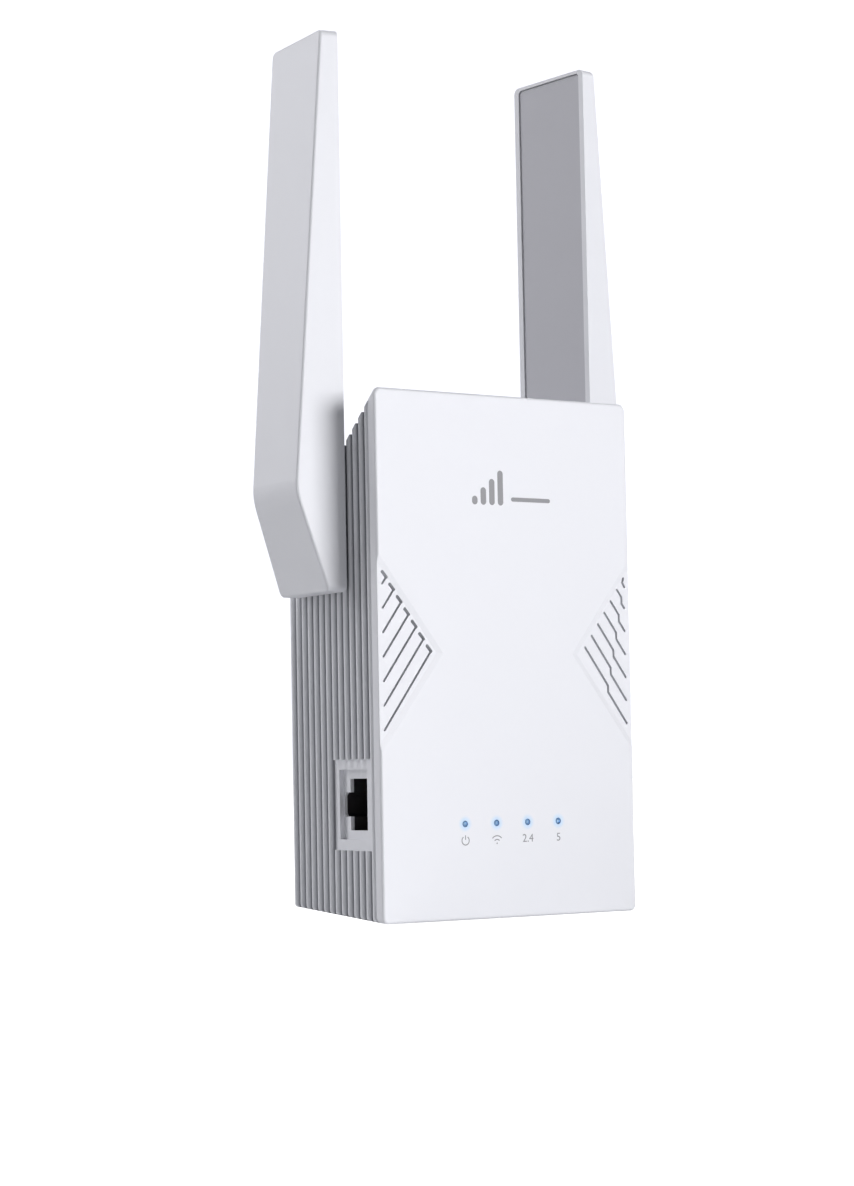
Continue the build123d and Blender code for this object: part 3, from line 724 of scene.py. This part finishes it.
# %% Line choke
low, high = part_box("line_choke")
CHOKE_MIDDLE = (low + high) / 2
CHOKE_OUT, CHOKE_TALL = (high.x - low.x) / 2, high.y - low.y
CHOKE_IN, WIRE, TURNS, TURN_CORNER = 2.4 * MM, 0.62 * MM, 26, 0.8 * MM


def turn_tree():
    """Rounded square loops of wire, set round a ring that lies in X and Y."""
    tree, size = new_tree("wire_turns", Turns=26, Ring=0.1, Wide=0.1, Tall=0.1, Wire=0.1)
    ring = add(tree, "GeometryNodeCurvePrimitiveCircle",
               {"Resolution": size["Turns"], "Radius": size["Ring"]})
    loop = add(tree, "GeometryNodeCurvePrimitiveQuadrilateral",
               {"Width": size["Wide"], "Height": size["Tall"]})
    bent = add(tree, "GeometryNodeFilletCurve",
               {"Curve": loop.outputs[0], "Radius": TURN_CORNER, "Count": 4}, mode="POLY")
    wire = add(tree, "GeometryNodeCurvePrimitiveCircle", {"Resolution": 8, "Radius": size["Wire"]})
    round_wire = add(tree, "GeometryNodeCurveToMesh",
                     {"Curve": bent.outputs[0], "Profile Curve": wire.outputs[0]})
    points = add(tree, "GeometryNodeCurveToPoints", {"Curve": ring.outputs[0], "Count": size["Turns"]})
    turns = add(tree, "GeometryNodeInstanceOnPoints",
                {"Points": points.outputs[0], "Instance": round_wire.outputs[0],
                 "Rotation": points.outputs["Rotation"]})
    finish_tree(tree, turns.outputs[0], INSIDE["copper_winding"])
    return tree


def lathe(name, outline, material, place, steps=48):
    """A closed outline in radius and height, turned about Z, then placed."""
    build = bmesh.new()
    rows = []
    for k in range(steps):
        t = 2 * pi * k / steps
        rows.append([build.verts.new((r * cos(t), r * sin(t), h)) for r, h in outline])
    for k in range(steps):
        here, there = rows[k], rows[(k + 1) % steps]
        for j in range(len(outline)):
            i = (j + 1) % len(outline)
            build.faces.new((here[j], there[j], there[i], here[i]))
    bmesh.ops.recalc_face_normals(build, faces=build.faces)
    mesh = bpy.data.meshes.new(name)
    build.to_mesh(mesh)
    build.free()
    mesh.transform(place)
    return placed(name, mesh, material)


to_choke = Matrix.Translation(CHOKE_MIDDLE) @ Matrix.Rotation(pi / 2, 4, "X")
core_out, core_in, core_half = CHOKE_OUT - WIRE * 2, CHOKE_IN + WIRE, CHOKE_TALL / 2 - WIRE * 1.1
core = lathe("choke_core", [(core_in, -core_half), (core_out, -core_half), (core_out, core_half),
                            (core_in, core_half)], INSIDE["ferrite"], to_choke)
turns = grow("choke_turns", turn_tree(), to_choke, Turns=TURNS, Ring=(core_out + core_in) / 2,
             Wide=core_out - core_in + WIRE, Tall=core_half * 2 + WIRE, Wire=WIRE / 2)
belongs(core, "case")
belongs(turns, "case")
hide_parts("line_choke")

# %% [markdown]
# ## Legs and small parts on the main board
# Chips stand on gull-wing legs, and between them lie chip resistors and capacitors no bigger than a
# sesame seed: a dark or tan body with two tinned ends. The legs are one bent strip, repeated along an
# edge. The small parts are dropped on a clear field of the board, on a grid with a little spread.

# %% Chip legs
LEG_PITCH, LEG_WIDE, LEG_THICK = 1.0 * MM, 0.4 * MM, 0.15 * MM
LEG_BENDS = [(-0.1, 0.7), (0.3, 0.7), (0.5, 0.08), (0.95, 0.08)]   # mm, out from the chip and off the board
BOARD_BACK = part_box("main_board")[1].y


def leg_tree():
    """Gull-wing legs in a row up Z: out from the chip, down to the board, and a short foot."""
    tree, size = new_tree("chip_legs", Count=4, Pitch=0.1, Side=1.0)
    step = add(tree, "ShaderNodeCombineXYZ", {"Z": size["Pitch"]})
    row = add(tree, "GeometryNodeMeshLine", {"Count": size["Count"], "Offset": step.outputs[0]})
    joint = add(tree, "GeometryNodeJoinGeometry")
    for (x0, y0), (x1, y1) in zip(LEG_BENDS, LEG_BENDS[1:]):
        line = add(tree, "GeometryNodeCurvePrimitiveLine",
                   {"Start": (x0 * MM, y0 * MM, 0), "End": (x1 * MM, y1 * MM, 0)})
        flat = add(tree, "GeometryNodeCurvePrimitiveQuadrilateral",
                   {"Width": LEG_THICK, "Height": LEG_WIDE})
        strip = add(tree, "GeometryNodeCurveToMesh",
                    {"Curve": line.outputs[0], "Profile Curve": flat.outputs[0], "Fill Caps": True})
        tree.links.new(strip.outputs[0], joint.inputs[0])
    facing = add(tree, "ShaderNodeCombineXYZ", {"X": size["Side"], "Y": 1.0, "Z": 1.0})
    legs = add(tree, "GeometryNodeInstanceOnPoints",
               {"Points": row.outputs[0], "Instance": joint.outputs[0], "Scale": facing.outputs[0]})
    finish_tree(tree, legs.outputs[0], INSIDE["tinned_steel"])
    return tree


def solids_of(node):
    """The boxes of a node's separate solids, found by walking its merged mesh."""
    build = bmesh.new()
    build.from_mesh(nodes[node].data)
    bmesh.ops.remove_doubles(build, verts=build.verts, dist=1e-6)
    seen, found = set(), []
    for start in build.verts:
        if start in seen:
            continue
        group, queue = [], [start]
        seen.add(start)
        while queue:
            v = queue.pop()
            group.append(v.co.copy())
            for edge in v.link_edges:
                other = edge.other_vert(v)
                if other not in seen:
                    seen.add(other)
                    queue.append(other)
        axes = list(zip(*group))
        found.append(([min(axis) for axis in axes], [max(axis) for axis in axes]))
    build.free()
    return found


legs = []
row_tree = leg_tree()
for low, high in solids_of("main_chips"):
    count = int((high[2] - low[2]) / LEG_PITCH)
    first = (low[2] + high[2]) / 2 - (count - 1) * LEG_PITCH / 2
    for side, x in ((1.0, high[0]), (-1.0, low[0])):
        place = Matrix.Translation((x, BOARD_BACK, first))
        row = grow("leg_row", row_tree, place, Count=count, Pitch=LEG_PITCH, Side=side)
        if side < 0:
            row.data.flip_normals()
        legs.append(row)
belongs(joined("chip_legs", legs), "case")

# %% Chip resistors and capacitors
CHIP_LONG, CHIP_WIDE, CHIP_TALL = 1.6 * MM, 0.8 * MM, 0.6 * MM
SPREAD = (0.5 * MM, 0.3 * MM, 0.0)   # how far a part may sit off the grid
LEFT_OUT = 0.35                      # share of the grid without a part


def small_part_tree(body, seed):
    """Two-ended chip parts on a grid in X and Z, with some left out and each moved a little."""
    tree, size = new_tree("small_parts", Across=0.1, High=0.1, Columns=4, Rows=4)
    grid = add(tree, "GeometryNodeMeshGrid", {"Size X": size["Across"], "Size Y": size["High"],
                                              "Vertices X": size["Columns"], "Vertices Y": size["Rows"]})
    chance = add(tree, "FunctionNodeRandomValue", {"Probability": LEFT_OUT, "Seed": seed},
                 data_type="BOOLEAN")
    kept = add(tree, "GeometryNodeDeleteGeometry",
               {"Geometry": grid.outputs[0], "Selection": chance.outputs[3]})
    nudge = add(tree, "FunctionNodeRandomValue",
                {"Min": [-reach for reach in SPREAD], "Max": SPREAD, "Seed": seed + 1},
                data_type="FLOAT_VECTOR")
    moved = add(tree, "GeometryNodeSetPosition", {"Geometry": kept.outputs[0], "Offset": nudge.outputs[0]})
    middle = add(tree, "GeometryNodeMeshCube", {"Size": (CHIP_LONG * 0.62, CHIP_WIDE, CHIP_TALL * 0.94)})
    dark = add(tree, "GeometryNodeSetMaterial", {"Geometry": middle.outputs[0], "Material": body})
    joint = add(tree, "GeometryNodeJoinGeometry")
    tree.links.new(dark.outputs[0], joint.inputs[0])
    for side in (-1, 1):
        cap = add(tree, "GeometryNodeMeshCube", {"Size": (CHIP_LONG * 0.2, CHIP_WIDE * 1.04, CHIP_TALL)})
        out = add(tree, "GeometryNodeTransform", {"Geometry": cap.outputs[0],
                                                  "Translation": (side * CHIP_LONG * 0.4, 0, 0)})
        tin = add(tree, "GeometryNodeSetMaterial",
                  {"Geometry": out.outputs[0], "Material": INSIDE["tinned_steel"]})
        tree.links.new(tin.outputs[0], joint.inputs[0])
    quarter = add(tree, "FunctionNodeRandomValue", {"Min": 0, "Max": 1, "Seed": seed + 2}, data_type="INT")
    angle = add(tree, "ShaderNodeMath", {0: quarter.outputs[2], 1: pi / 2}, operation="MULTIPLY")
    turn = add(tree, "ShaderNodeCombineXYZ", {"Z": angle.outputs[0]})
    parts = add(tree, "GeometryNodeInstanceOnPoints",
                {"Points": moved.outputs[0], "Instance": joint.outputs[0], "Rotation": turn.outputs[0]})
    real = add(tree, "GeometryNodeRealizeInstances", {"Geometry": parts.outputs[0]})
    add(tree, "NodeGroupOutput", {"Geometry": real.outputs[0]})
    return tree


def on_board(x, z):
    """A field's place on the back of the main board."""
    return Matrix.Translation((x, BOARD_BACK + CHIP_TALL / 2, z)) @ Matrix.Rotation(-pi / 2, 4, "X")


fields = [grow("small_parts_a", small_part_tree(INSIDE["black_epoxy"], 7), on_board(22.5 * MM, 15 * MM),
               Across=13 * MM, High=26 * MM, Columns=5, Rows=9),
          grow("small_parts_b", small_part_tree(INSIDE["tan_laminate"], 21), on_board(4 * MM, -9 * MM),
               Across=34 * MM, High=14 * MM, Columns=11, Rows=5)]
belongs(joined("chip_parts", fields), "case")
